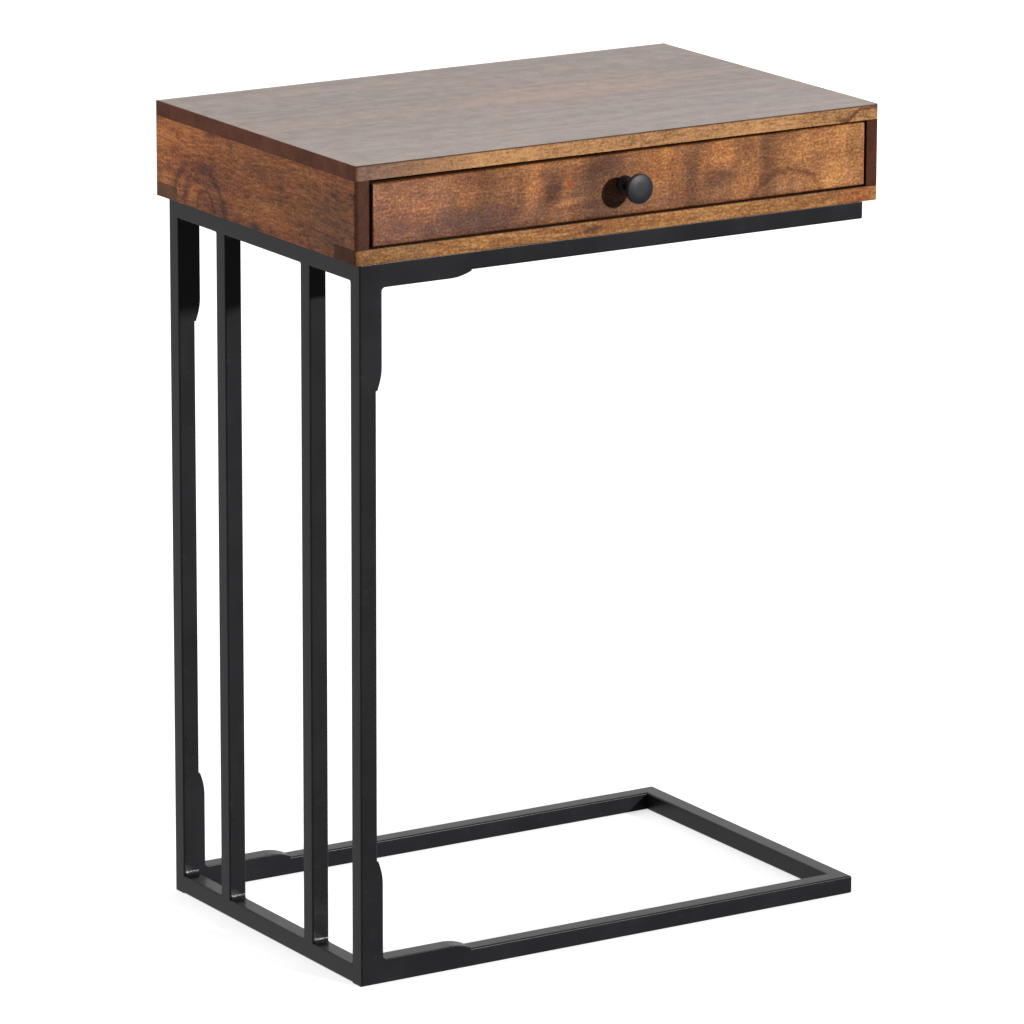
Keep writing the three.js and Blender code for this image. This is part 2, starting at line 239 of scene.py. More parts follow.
def stands_for(obj, material, body, *nodes, slot=None):
    """Finishes a piece, puts it on its body, and hides the CAD nodes that it stands for."""
    obj.data.materials.clear()
    obj.data.materials.append(material)
    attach(obj, body)
    if nodes:
        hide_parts(*nodes)
    return obj


# ------------------------------------------------------------------ node helpers
def add_node(tree, kind, **settings):
    node = tree.nodes.new(kind)
    for key, value in settings.items():
        setattr(node, key, value)
    return node


def feed(tree, socket, value):
    """Links a socket to another, or sets its value."""
    if isinstance(value, bpy.types.NodeSocket):
        tree.links.new(value, socket)
    else:
        socket.default_value = value


def calc(tree, operation, *values, clamp=False):
    node = add_node(tree, "ShaderNodeMath", operation=operation, use_clamp=clamp)
    for socket, value in zip(node.inputs, values):
        feed(tree, socket, value)
    return node.outputs[0]


def calc_vector(tree, operation, *values):
    node = add_node(tree, "ShaderNodeVectorMath", operation=operation)
    for socket, value in zip(node.inputs, values):
        feed(tree, socket, value)
    return node.outputs["Value"] if operation in {"LENGTH", "DOT_PRODUCT"} else node.outputs[0]


def remap(tree, value, low, high, to_low=0.0, to_high=1.0, soft=False):
    node = add_node(tree, "ShaderNodeMapRange", clamp=True)
    node.interpolation_type = "SMOOTHSTEP" if soft else "LINEAR"
    for socket, given in zip(node.inputs, (value, low, high, to_low, to_high)):
        feed(tree, socket, given)
    return node.outputs[0]


def blend(tree, factor, first, second, mode="MIX"):
    node = add_node(tree, "ShaderNodeMix", data_type="RGBA", blend_type=mode)
    feed(tree, node.inputs[0], factor)
    feed(tree, node.inputs[6], first)
    feed(tree, node.inputs[7], second)
    return node.outputs[2]


def noise(tree, vector, scale, detail=2.0, roughness=0.5, distortion=0.0):
    node = add_node(tree, "ShaderNodeTexNoise", noise_dimensions="3D")
    feed(tree, node.inputs["Vector"], vector)
    node.inputs["Scale"].default_value = scale
    node.inputs["Detail"].default_value = detail
    node.inputs["Roughness"].default_value = roughness
    node.inputs["Distortion"].default_value = distortion
    return node.outputs["Fac"]


def stretched(tree, vector, along, across):
    """The vector with its grain direction, X, scaled apart from the other two."""
    return calc_vector(tree, "MULTIPLY", vector, (along, across, across))


def rgb(*parts):
    """A colour given in the everyday 0 to 255 way."""
    def linear(c):
        c /= 255
        return c / 12.92 if c <= 0.04045 else ((c + 0.055) / 1.055) ** 2.4
    return tuple(linear(c) for c in parts) + (1.0,)


def new_group(name, inputs, outputs):
    tree = bpy.data.node_groups.new(name, "ShaderNodeTree")
    for label, kind, value in inputs:
        socket = tree.interface.new_socket(name=label, in_out="INPUT", socket_type=kind)
        if value is not None:
            socket.default_value = value
    for label, kind in outputs:
        tree.interface.new_socket(name=label, in_out="OUTPUT", socket_type=kind)
    return tree, tree.nodes.new("NodeGroupInput").outputs, tree.nodes.new("NodeGroupOutput").inputs


COLOUR = "NodeSocketColor"
NUMBER = "NodeSocketFloat"
VECTOR = "NodeSocketVector"


def use_group(tree, group, **values):
    """Places a group and sets or links its named inputs."""
    node = add_node(tree, "ShaderNodeGroup", node_tree=group)
    for key, value in values.items():
        feed(tree, node.inputs[key], value)
    return node.outputs


# ------------------------------------------------------------------ shared effects
def make_grain_group():
    """Solid wood with its grain along X: growth rings, fibres, flecks, pores and a rippled figure."""
    tree, given, made = new_group(
        "wood_grain",
        [
            ("Vector", VECTOR, None),
            ("Seed", NUMBER, 0.0),
            ("Dark", COLOUR, (0.1, 0.05, 0.02, 1)),
            ("Middle", COLOUR, (0.2, 0.1, 0.05, 1)),
            ("Light", COLOUR, (0.4, 0.2, 0.1, 1)),
            ("Rings", NUMBER, 0.5),
            ("Patches", NUMBER, 0.5),
            ("Ripple", NUMBER, 0.5),
            ("Fibre", NUMBER, 0.5),
            ("Fleck", NUMBER, 0.5),
            ("Pores", NUMBER, 0.5),
        ],
        [("Color", COLOUR), ("Height", NUMBER)],
    )
    shift = calc_vector(tree, "SCALE", (0.37, 0.53, 0.71))
    feed(tree, shift.node.inputs["Scale"], given["Seed"])
    place = calc_vector(tree, "ADD", given["Vector"], shift)
    # The grain wanders, and the rings, fibres and pores all follow it.
    wander = noise(tree, stretched(tree, place, 7, 16), 1.0, detail=2)
    sway = calc_vector(tree, "SCALE", (0.0, 1.0, 1.0))
    feed(tree, sway.node.inputs["Scale"], calc(tree, "MULTIPLY", wander, 0.03))
    bent = calc_vector(tree, "ADD", place, sway)

    rings = remap(tree, noise(tree, stretched(tree, bent, 2.2, 95), 1.0, detail=3), 0.36, 0.64)
    fibre = noise(tree, stretched(tree, bent, 80, 540), 1.0, detail=3, roughness=0.62)
    fleck = noise(tree, stretched(tree, place, 420, 560), 1.0, detail=2, roughness=0.6)
    mottle = noise(tree, stretched(tree, place, 30, 38), 1.0, detail=3, roughness=0.55)
    patch = noise(tree, stretched(tree, place, 8, 13), 1.0, detail=1)
    ripple = noise(tree, stretched(tree, place, 85, 17), 1.0, detail=2)
    pores = noise(tree, stretched(tree, bent, 75, 1100), 1.0, detail=1)
    pores = remap(tree, pores, 0.64, 0.74)

    tone = calc(tree, "MULTIPLY", calc(tree, "SUBTRACT", rings, 0.5), given["Rings"])
    waves = calc(tree, "SUBTRACT", calc(tree, "ADD", mottle, patch), 1.0)
    tone = calc(tree, "MULTIPLY_ADD", waves, given["Patches"], tone)
    tone = calc(tree, "MULTIPLY_ADD", calc(tree, "SUBTRACT", ripple, 0.5), given["Ripple"], tone)
    fibre = calc(tree, "SUBTRACT", fibre, 0.5)
    fleck = calc(tree, "SUBTRACT", fleck, 0.5)
    tone = calc(tree, "MULTIPLY_ADD", fibre, given["Fibre"], tone)
    tone = calc(tree, "MULTIPLY_ADD", fleck, given["Fleck"], tone)
    tone = calc(tree, "ADD", tone, 0.5, clamp=True)
    colour = blend(tree, remap(tree, tone, 0.0, 0.5), given["Dark"], given["Middle"])
    colour = blend(tree, remap(tree, tone, 0.5, 1.0), colour, given["Light"])
    sunk = calc(tree, "MULTIPLY", pores, given["Pores"])
    feed(tree, made["Color"], blend(tree, sunk, colour, (0.035, 0.016, 0.009, 1)))
    feed(tree, made["Height"], calc(tree, "SUBTRACT", fibre, pores))
    return tree


def make_spot_group():
    """A soft oval for a knot, streak or stain. Mask fills it, and Ring follows its outline."""
    tree, given, made = new_group(
        "soft_spot",
        [
            ("Vector", VECTOR, None),
            ("Centre", VECTOR, None),
            ("Reach", VECTOR, (1, 1, 1)),
            ("Turn", VECTOR, None),
            ("Ragged", NUMBER, 0.3),
        ],
        [("Mask", NUMBER), ("Ring", NUMBER)],
    )
    away = calc_vector(tree, "SUBTRACT", given["Vector"], given["Centre"])
    turn = add_node(tree, "ShaderNodeVectorRotate", rotation_type="EULER_XYZ")
    feed(tree, turn.inputs["Vector"], away)
    feed(tree, turn.inputs["Rotation"], given["Turn"])
    shaped = calc_vector(tree, "DIVIDE", turn.outputs[0], given["Reach"])
    rough = noise(tree, given["Vector"], 170, detail=4, roughness=0.6)
    rough = calc(tree, "MULTIPLY", calc(tree, "SUBTRACT", rough, 0.5), given["Ragged"])
    distance = calc(tree, "ADD", calc_vector(tree, "LENGTH", shaped), rough)
    feed(tree, made["Mask"], remap(tree, distance, 0.35, 1.0, 1.0, 0.0, soft=True))
    off_outline = calc(tree, "ABSOLUTE", calc(tree, "SUBTRACT", distance, 0.8))
    feed(tree, made["Ring"], remap(tree, off_outline, 0.0, 0.11, 1.0, 0.0, soft=True))
    return tree


def make_face_group():
    """1 on a flat face of a board, fading to 0 a little way from it, for end grain and edges."""
    tree, given, made = new_group(
        "near_face",
        [
            ("Vector", VECTOR, None),
            ("Axis", VECTOR, (1, 0, 0)),
            ("At", NUMBER, 0.0),
            ("Reach", NUMBER, MM),
        ],
        [("Mask", NUMBER)],
    )
    along = calc_vector(tree, "DOT_PRODUCT", given["Vector"], given["Axis"])
    away = calc(tree, "ABSOLUTE", calc(tree, "SUBTRACT", along, given["At"]))
    feed(tree, made["Mask"], remap(tree, calc(tree, "DIVIDE", away, given["Reach"]), 0.4, 1.0, 1.0, 0.0))
    return tree


def make_coat_group():
    """The fine orange peel of powder coat, with cloudy thickness and a little rubbing."""
    tree, given, made = new_group(
        "powder_coat",
        [
            ("Vector", VECTOR, None),
            ("Base", COLOUR, (0.02, 0.02, 0.02, 1)),
            ("Roughness", NUMBER, 0.3),
            ("Lumps", NUMBER, 0.0),
        ],
        [("Color", COLOUR), ("Roughness", NUMBER), ("Height", NUMBER)],
    )
    peel = noise(tree, given["Vector"], 750, detail=2, roughness=0.6)
    cloud = noise(tree, given["Vector"], 24, detail=3)
    lump = noise(tree, given["Vector"], 330, detail=2)
    scuff = remap(tree, noise(tree, given["Vector"], 95, detail=5, roughness=0.7), 0.6, 0.72)
    thin = blend(tree, 1.0, given["Base"], (1.5, 1.5, 1.5, 1), "MULTIPLY")
    colour = blend(tree, cloud, given["Base"], thin)
    feed(tree, made["Color"], blend(tree, calc(tree, "MULTIPLY", scuff, 0.3), colour, (0.03, 0.03, 0.031, 1)))
    spread = calc(tree, "MULTIPLY", calc(tree, "SUBTRACT", cloud, 0.5), 0.14)
    spread = calc(tree, "MULTIPLY_ADD", scuff, 0.06, spread)
    feed(tree, made["Roughness"], calc(tree, "ADD", given["Roughness"], spread))
    feed(tree, made["Height"], calc(tree, "MULTIPLY_ADD", lump, given["Lumps"], peel))
    return tree


wood_grain = make_grain_group()
soft_spot = make_spot_group()
near_face = make_face_group()
powder_coat = make_coat_group()

# ------------------------------------------------------------------ finishes
ALONG_X = (0, 0, 0)
ALONG_Y = (0, 0, math.radians(90))

UMBER = rgb(62, 34, 22)
EMBER = rgb(158, 66, 12)
RAIL_TOP_PAINTED_SHADE = rgb(42, 20, 10)
DRAWER_TOP_PAINTED_SHADE = rgb(40, 19, 10)
SIDE_GAP_PAINTED_SHADE = (0.012, 0.006, 0.004, 1)


def inside(node, x=0.5, y=0.5, z=0.5):
    """A place in a piece, by how far along each side of its box it is."""
    low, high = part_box(node)
    return tuple(low[k] + (high[k] - low[k]) * part for k, part in enumerate((x, y, z)))


class Finish:
    """A material with a Principled shader, coloured and bumped on the piece's own coordinates."""

    def __init__(self, name):
        self.material = bpy.data.materials.new(name)
        self.material.use_nodes = True
        self.tree = self.material.node_tree
        self.shader = self.tree.nodes["Principled BSDF"]
        self.place = add_node(self.tree, "ShaderNodeTexCoord").outputs["Object"]

    def set(self, **values):
        for key, value in values.items():
            feed(self.tree, self.shader.inputs[key.replace("_", " ")], value)

    def bump(self, height, distance):
        node = add_node(self.tree, "ShaderNodeBump")
        node.inputs["Strength"].default_value = 1.0
        node.inputs["Distance"].default_value = distance
        feed(self.tree, node.inputs["Height"], height)
        self.set(Normal=node.outputs["Normal"])


class Wood(Finish):
    """Stained and waxed solid wood."""

    def __init__(self, name, dark, middle, light, grain=ALONG_X, seed=0.0, **strengths):
        super().__init__(name)
        mapping = add_node(self.tree, "ShaderNodeMapping", vector_type="POINT")
        mapping.inputs["Rotation"].default_value = grain
        feed(self.tree, mapping.inputs["Vector"], self.place)
        self.grain_place = mapping.outputs[0]
        self.colours = {"Dark": dark, "Middle": middle, "Light": light}
        self.strengths = strengths
        self.seed = seed
        self.dull = None

    def lay_grain(self):
        made = use_group(
            self.tree, wood_grain, Vector=self.grain_place, Seed=self.seed, **self.colours, **self.strengths
        )
        self.colour = made["Color"]
        self.height = made["Height"]

    def tint(self, mask, strength, colour, mode="MIX"):
        self.colour = blend(self.tree, calc(self.tree, "MULTIPLY", mask, strength), self.colour, colour, mode)

    def spot(self, colour, strength, centre, reach, turn=(0, 0, 0), ragged=0.3, ring=False, mode="MIX"):
        """A knot, streak or knock. reach is in millimetres, and turn leans it in the board's face."""
        made = use_group(
            self.tree,
            soft_spot,
            Vector=self.place,
            Centre=centre,
            Reach=tuple(side * MM for side in reach),
            Turn=turn,
            Ragged=ragged,
        )
        self.tint(made["Ring" if ring else "Mask"], strength, colour, mode)

    def shade(self, factors, centre, reach, turn=(0, 0, 0), ragged=0.5, ring=False):
        """Lightens or darkens a patch and keeps its grain. factors multiply red, green and blue."""
        self.spot((*factors, 1), 1.0, centre, reach, turn, ragged, ring, "MULTIPLY")

    def face_mask(self, axis, at, reach):
        return use_group(self.tree, near_face, Vector=self.place, Axis=axis, At=at, Reach=reach)["Mask"]

    def end_grain(self, node, axis, colour, strength=0.9, reach=0.9 * MM):
        """Darkens and dulls the two ends of a board, where its fibres are cut across."""
        low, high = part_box(node)
        k = axis.index(1)
        cloud = remap(self.tree, noise(self.tree, self.place, 55, detail=4, roughness=0.65), 0.35, 0.65)
        darker = tuple(0.72 * part for part in colour)
        lighter = tuple(1.3 * part for part in colour)
        sawn = blend(self.tree, cloud, darker, lighter)
        for at in (low[k], high[k]):
            mask = self.face_mask(axis, at, reach)
            self.tint(mask, strength, sawn)
            self.dull = mask if self.dull is None else calc(self.tree, "MAXIMUM", self.dull, mask)

    def finish(self, roughness=0.4, specular=0.4, depth=0.05 * MM):
        rub = noise(self.tree, self.place, 70, detail=3)
        gloss = remap(self.tree, rub, 0.3, 0.7, roughness - 0.05, roughness + 0.06)
        if self.dull is not None:
            gloss = calc(self.tree, "MULTIPLY_ADD", self.dull, 0.35, gloss)
        self.set(Base_Color=self.colour, Roughness=gloss, Specular_IOR_Level=specular)
        self.bump(self.height, depth)
        return self.material


X_AXIS = (1, 0, 0)
Y_AXIS = (0, 1, 0)
Z_AXIS = (0, 0, 1)


PLANKS = 4
PLANK_SHIFT = 2.7  # how far apart neighbouring planks' grain is taken


def top_finish():
    """Four glued planks under a worn grey-brown wax, with honey edges and dark sawn ends."""
    node = "top_board"
    wood = Wood(
        "top_wood",
        dark=rgb(88, 60, 44), middle=rgb(120, 86, 62), light=rgb(154, 114, 80),
        Rings=0.45, Patches=0.3, Ripple=0.1, Fibre=1.3, Fleck=0.7, Pores=0.25,
    )
    tree = wood.tree
    low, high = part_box(node)
    parts = add_node(tree, "ShaderNodeSeparateXYZ")
    feed(tree, parts.inputs[0], wood.place)
    across = remap(tree, parts.outputs[1], low.y, high.y, 0.0, PLANKS)
    plank = calc(tree, "FLOOR", calc(tree, "MINIMUM", across, PLANKS - 0.01))
    wood.seed = calc(tree, "MULTIPLY", plank, PLANK_SHIFT)
    wood.lay_grain()
    chance = add_node(tree, "ShaderNodeTexWhiteNoise", noise_dimensions="1D")
    feed(tree, chance.inputs["W"], calc(tree, "ADD", plank, 0.5))
    wood.tint(chance.outputs["Value"], 0.6, (1.35, 1.25, 1.15, 1), "MULTIPLY")
    to_seam = calc(tree, "FRACT", calc(tree, "ADD", across, 0.5))
    to_seam = calc(tree, "ABSOLUTE", calc(tree, "SUBTRACT", to_seam, 0.5))
    wood.tint(remap(tree, to_seam, 0.001, 0.007, 1.0, 0.0), 0.3, UMBER)
    wood.spot(rgb(60, 40, 36), 0.9, inside(node, 0.284, 0.639, 1), (2.0, 4.5, 9), ragged=0.5)
    wood.spot(UMBER, 0.9, inside(node, 0.0215, 0.794, 1), (5, 1.8, 9), ragged=0.5)
    wood.shade((0.82, 0.88, 0.98), inside(node, 0.2, 0.7, 1), (120, 60, 30), ragged=0.9)
    wood.shade((0.85, 0.9, 1.0), inside(node, 0.85, 0.2, 1), (120, 40, 30), ragged=0.9)
    wood.shade((1.2, 1.08, 1.0), inside(node, 0.62, 0.55, 1), (140, 60, 30), ragged=0.9)
    # The front edge shows long grain in a lighter stain, and a dark line is tinted along its arris.
    front = wood.face_mask(Y_AXIS, low.y, 0.9 * MM)
    to_right = remap(tree, parts.outputs[0], low.x, low.x + 0.14, 0, 1, soft=True)
    edge_stain = blend(tree, to_right, rgb(126, 94, 76), rgb(182, 132, 84))
    wood.colour = blend(tree, front, wood.colour, restained(wood, edge_stain))
    wood.spot(rgb(84, 42, 22), 0.9, inside(node, 0.985, 0, -0.5), (34, 3, 20), ragged=0.3, ring=True)
    wood.shade((0.6, 0.5, 0.45), inside(node, 0.93, 0, 0.15), (7, 3, 3), ragged=0.9)
    wood.spot(rgb(120, 70, 30), 0.8, inside(node, 0.985, 0, 0.45), (7, 4, 4), ragged=0.9, ring=True)
    arris = calc(
        tree, "MULTIPLY", wood.face_mask(Z_AXIS, high.z, 1.3 * MM), wood.face_mask(Y_AXIS, low.y, 1.5 * MM)
    )
    wood.tint(arris, 0.85, UMBER)
    wood.end_grain(node, X_AXIS, rgb(122, 66, 44), 0.9)
    wood.dull = calc(tree, "MAXIMUM", wood.dull, calc(tree, "MAXIMUM", arris, front))
    wax = remap(tree, parts.outputs[1], low.y + 0.02, low.y + 0.2, 0.66, 0.46, soft=True)
    waxed = calc(tree, "SUBTRACT", 1.0, wood.dull)
    wood.set(Coat_Weight=calc(tree, "MULTIPLY", waxed, wax), Coat_Roughness=0.24)
    return wood.finish(roughness=0.3, specular=0.25, depth=0.006 * MM)


def restained(wood, middle):
    """The same grain in another stain, darker and lighter around the given colour."""
    tree = wood.tree
    made = use_group(
        tree,
        wood_grain,
        Vector=wood.grain_place,
        Seed=9.0,
        Dark=blend(tree, 1.0, middle, (0.45, 0.4, 0.38, 1), "MULTIPLY"),
        Middle=middle,
        Light=blend(tree, 1.0, middle, (1.4, 1.45, 1.5, 1), "MULTIPLY"),
        Rings=0.25,
        Patches=0.6,
        Ripple=0.3,
        Fibre=1.2,
        Fleck=1.6,
        Pores=0.4,
    )
    return made["Color"]


def side_finish(node):
    """Figured orange-brown boards with an arched swirl, a knot and a few knocks."""
    on_left = "left" in node
    wood = Wood(
        node + "_wood",
        dark=rgb(88, 42, 22), middle=rgb(174, 98, 44), light=rgb(228, 146, 74),
        grain=ALONG_Y, seed=2.0 if on_left else 14.0,
        Rings=0.35, Patches=0.75, Ripple=0.2, Fibre=1.5, Fleck=1.0, Pores=0.4,
    )
    wood.lay_grain()
    wood.shade((1.45, 1.4, 1.5), inside(node, 0.5, 0.85, 0.6), (40, 90, 50), ragged=0.9)
    wood.shade((0.72, 0.8, 1.0), inside(node, 0.5, 0.12, 0.35), (40, 80, 40), ragged=0.9)
    for size, lean in ((1.2, 0.55), (0.95, 0.3), (0.66, 0.6), (0.4, 0.2)):
        arch = (60 * size, 44 * size, 52 * size)
        foot = inside(node, 0.5, 0.73 + 0.06 * lean, 0.1 - 0.2 * size)
        wood.shade((0.52, 0.47, 0.48), foot, arch, (lean, 0, 0), ragged=0.34, ring=True)
    wood.shade((0.8, 0.78, 0.8), inside(node, 0.5, 0.70, 0.35), (60, 40, 36), ragged=0.9)
    wood.spot(rgb(60, 30, 22), 0.8, inside(node, 0.5, 0.49, 0.04), (30, 12, 6), ragged=0.7)
    wood.spot(rgb(205, 170, 150), 0.8, inside(node, 0.5, 0.385, 0.4), (30, 0.9, 3), ragged=0.2)
    wood.spot(UMBER, 0.85, inside(node, 0.5, 0.27, 0.14), (30, 2.6, 3.4), ragged=0.5)
    low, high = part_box(node)
    # Painted shade: the inner faces near the front, in the gap beside the drawer, are tinted near black.
    inner_face = wood.face_mask(X_AXIS, high.x if on_left else low.x, 1 * MM)
    near_front = wood.face_mask(Y_AXIS, low.y, 26 * MM)
    wood.tint(calc(wood.tree, "MULTIPLY", inner_face, near_front), 0.9, SIDE_GAP_PAINTED_SHADE)
    sawn = rgb(64, 38, 30) if on_left else rgb(64, 26, 12)
    wood.end_grain(node, Y_AXIS, sawn, 0.92, reach=3.4 * MM)
    return wood.finish(roughness=0.42, specular=0.25)


def drawer_front_finish():
    """Rippled board, purple-brown on the left and golden on the right, with a small red knot."""
    node = "drawer_front"
    wood = Wood(
        "drawer_front_wood",
        dark=rgb(84, 46, 26), middle=rgb(136, 86, 50), light=rgb(190, 130, 74), seed=3.0,
        Rings=0.15, Patches=0.6, Ripple=0.5, Fibre=0.7, Fleck=1.55, Pores=0.25,
    )
    wood.lay_grain()
    # Purple-brown from the left end to past the knob, with golden light playing through it.
    wood.shade((1.1, 1.12, 1.5), inside(node, 0.03, 0, 0.6), (90, 30, 70), ragged=0.9)
    wood.shade((0.72, 0.73, 0.92), inside(node, 0.14, 0, 0.05), (105, 30, 26), ragged=0.9)
    wood.shade((0.72, 0.73, 0.9), inside(node, 0.24, 0, 0.1), (80, 30, 28), ragged=0.9)
    wood.shade((1.3, 1.22, 1.05), inside(node, 0.10, 0, 0.4), (20, 30, 14), (0, 0.5, 0), ragged=1.0)
    wood.shade((1.3, 1.24, 1.1), inside(node, 0.19, 0, 0.55), (16, 30, 12), (0, 0.7, 0), ragged=1.0)
    wood.shade((1.45, 1.42, 1.3), inside(node, 0.318, 0, 0.6), (9, 30, 30), (0, -0.25, 0), ragged=0.9)
    wood.shade((1.35, 1.3, 1.2), inside(node, 0.295, 0, 0.2), (16, 30, 7), (0, 0.5, 0), ragged=1.0)
    wood.shade((0.5, 0.48, 0.56), inside(node, 0.452, 0, 0.5), (34, 30, 64), ragged=0.9)
    wood.shade((0.5, 0.46, 0.56), inside(node, 0.357, 0, 0.5), (10, 30, 15), (0, -0.3, 0), ragged=0.8)
    wood.shade((1.25, 1.25, 1.2), inside(node, 0.40, 0, 0.84), (12, 30, 10), (0, 0.4, 0), ragged=1.0)
    wood.shade((1.6, 1.65, 1.7), inside(node, 0.385, 0, 0.3), (22, 30, 3.4), (0, 0.14, 0), ragged=1.0)
    wood.shade((1.3, 1.2, 1.1), inside(node, 0.391, 0, 0.59), (7, 30, 7), ragged=0.6)
    wood.spot(EMBER, 0.85, inside(node, 0.391, 0, 0.59), (3.4, 30, 3.4), ragged=0.8)
    # A golden cloud and bands of ripple right of the knob.
    wood.shade((1.45, 1.4, 1.15), inside(node, 0.58, 0, 0.7), (26, 30, 24), ragged=0.9)
    wood.shade((0.8, 0.76, 0.78), inside(node, 0.635, 0, 0.35), (9, 30, 40), ragged=0.9)
    wood.shade((1.5, 1.46, 1.25), inside(node, 0.695, 0, 0.78), (22, 30, 16), ragged=0.9)
    wood.shade((0.62, 0.58, 0.62), inside(node, 0.70, 0, 0.4), (19, 30, 9), ragged=0.9)
    wood.shade((1.35, 1.33, 1.15), inside(node, 0.757, 0, 0.35), (20, 30, 24), ragged=0.9)
    wood.shade((0.78, 0.72, 0.74), inside(node, 0.755, 0, 0.8), (8, 30, 14), ragged=0.9)
    wood.shade((0.74, 0.69, 0.7), inside(node, 0.80, 0, 0.5), (12, 30, 50), ragged=0.9)
    wood.shade((1.4, 1.44, 1.32), inside(node, 0.92, 0, 0.5), (58, 30, 80), ragged=0.6)
    foot = inside(node, 0.835, 0, -0.3)
    wood.shade((0.56, 0.48, 0.44), foot, (48, 30, 44), (0, 0.25, 0), ragged=0.25, ring=True)
    # Painted shade: the top edge behind the rounded front is tinted dark, for the shadow in the gap above the
    # drawer.
    low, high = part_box(node)
    behind = remap(wood.tree, wood.face_mask(Y_AXIS, low.y, 4 * MM), 0.0, 1.0, 1.0, 0.0)
    top_edge = wood.face_mask(Z_AXIS, high.z, 3.4 * MM)
    wood.tint(calc(wood.tree, "MULTIPLY", top_edge, behind), 0.8, DRAWER_TOP_PAINTED_SHADE)
    wood.end_grain(node, X_AXIS, rgb(74, 44, 30), 0.8)
    return wood.finish(roughness=0.4, specular=0.3)


def rail_finish(node):
    """Straight honey-coloured wood of the rails and back, with darker sawn ends."""
    in_front = node == "front_bottom_rail"
    wood = Wood(
        node + "_wood",
        dark=rgb(104, 60, 32), middle=rgb(152, 99, 50), light=rgb(200, 144, 82),
        seed=4.0 if in_front else 21.0,
        Rings=0.35, Patches=0.35, Ripple=0.25, Fibre=1.3, Fleck=1.5, Pores=0.3,
    )
    wood.lay_grain()
    if in_front:
        wood.shade((0.75, 0.78, 0.85), inside(node, 0.05, 0, 0.5), (60, 30, 30), ragged=0.6)
        wood.shade((0.5, 0.46, 0.5), inside(node, 0.44, 0, 0.4), (15, 30, 4), (0, 0.1, 0), ragged=0.9)
        wood.shade((0.95, 0.72, 0.6), inside(node, 0.955, 0, 0.5), (24, 30, 12), ragged=0.6)
        wood.shade((0.6, 0.45, 0.4), inside(node, 0.935, 0, 0.5), (10, 30, 9), ragged=0.8, ring=True)
        # Painted shade: the rail's top face, in the gap under the drawer, is tinted dark brown.
        wood.tint(wood.face_mask(Z_AXIS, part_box(node)[1].z, 0.7 * MM), 0.85, RAIL_TOP_PAINTED_SHADE)
    wood.end_grain(node, X_AXIS, rgb(88, 52, 40) if in_front else rgb(140, 98, 76), 0.9)
    return wood.finish(roughness=0.42, specular=0.3)


def pale_finish(name, grain, seed):
    """Unstained wood inside the case and drawer."""
    wood = Wood(
        name,
        dark=rgb(150, 108, 70), middle=rgb(190, 148, 104), light=rgb(216, 182, 138),
        grain=grain, seed=seed,
        Rings=0.6, Patches=0.4, Ripple=0.1, Fibre=1.1, Fleck=0.6, Pores=0.35,
    )
    wood.lay_grain()
    return wood.finish(roughness=0.6, specular=0.25)


def black_paint(name, base, roughness, specular, lumps=0.0):
    paint = Finish(name)
    coat = use_group(paint.tree, powder_coat, Vector=paint.place, Base=base, Roughness=roughness, Lumps=lumps)
    paint.set(Base_Color=coat["Color"], Roughness=coat["Roughness"], Specular_IOR_Level=specular)
    paint.bump(coat["Height"], 0.02 * MM + 0.04 * MM * lumps)
    return paint.material


def knob_paint():
    """Black enamel: glossy at the neck, rubbed satin on the face."""
    paint = Finish("knob_black")
    tree = paint.tree
    coat = use_group(tree, powder_coat, Vector=paint.place, Base=(0.0095, 0.01, 0.013, 1), Roughness=0.5)
    face = use_group(
        tree, near_face, Vector=paint.place, Axis=Y_AXIS, At=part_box("knob")[0].y, Reach=7 * MM
    )["Mask"]
    shine = calc(tree, "MULTIPLY", calc(tree, "SUBTRACT", 1.0, face), -0.36)
    roughness = calc(tree, "ADD", coat["Roughness"], shine)
    paint.set(Base_Color=coat["Color"], Roughness=roughness, Specular_IOR_Level=0.46)
    paint.bump(coat["Height"], 0.01 * MM)
    return paint.material


def plated_steel():
    steel = Finish("zinc")
    streak = noise(steel.tree, steel.place, 700, detail=3)
    colour = blend(steel.tree, streak, (0.45, 0.45, 0.45, 1), (0.72, 0.72, 0.7, 1))
    steel.set(Base_Color=colour, Roughness=remap(steel.tree, streak, 0.2, 0.8, 0.25, 0.45), Metallic=1.0)
    steel.bump(streak, 0.01 * MM)
    return steel.material


top_wood = top_finish()
left_side_wood = side_finish("left_side_panel")
right_side_wood = side_finish("right_side_panel")
front_wood = drawer_front_finish()
inner_wood_x = pale_finish("inner_wood_along_x", ALONG_X, 5.0)
inner_wood_y = pale_finish("inner_wood_along_y", ALONG_Y, 6.0)
ply_wood = pale_finish("ply_wood", ALONG_X, 7.0)
black_steel = black_paint("black_steel", (0.0115, 0.0115, 0.013, 1), 0.3, 0.31)
weld_steel = black_paint("weld_steel", (0.012, 0.012, 0.0125, 1), 0.3, 0.35, lumps=3.0)
knob_black = knob_paint()
zinc = plated_steel()


# ------------------------------------------------------------------ the case
case_low = Vector(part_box("front_bottom_rail")[0])
case_high = Vector(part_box("top_board")[1])


def at_ends(place, axis):
    return min(abs(place[axis] - case_low[axis]), abs(place[axis] - case_high[axis])) < NEAR


def on_corner_arris(middle):
    upright = at_ends(middle, 0) and at_ends(middle, 1)
    return upright or at_ends(middle, 2) and abs(middle.y - case_high.y) < NEAR


def on_level_arris(middle):
    return at_ends(middle, 2) and (at_ends(middle, 0) or at_ends(middle, 1))


def outer_rounding(board):
    round_edges(board, on_corner_arris, CORNER_ARRIS, 5)
    round_edges(board, on_level_arris, ARRIS, 4)
    ease(board)


def case_board(node, material):
    low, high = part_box(node)
    board = block(node + "_board", low, high)
    outer_rounding(board)
    return stands_for(board, material, "table", node)


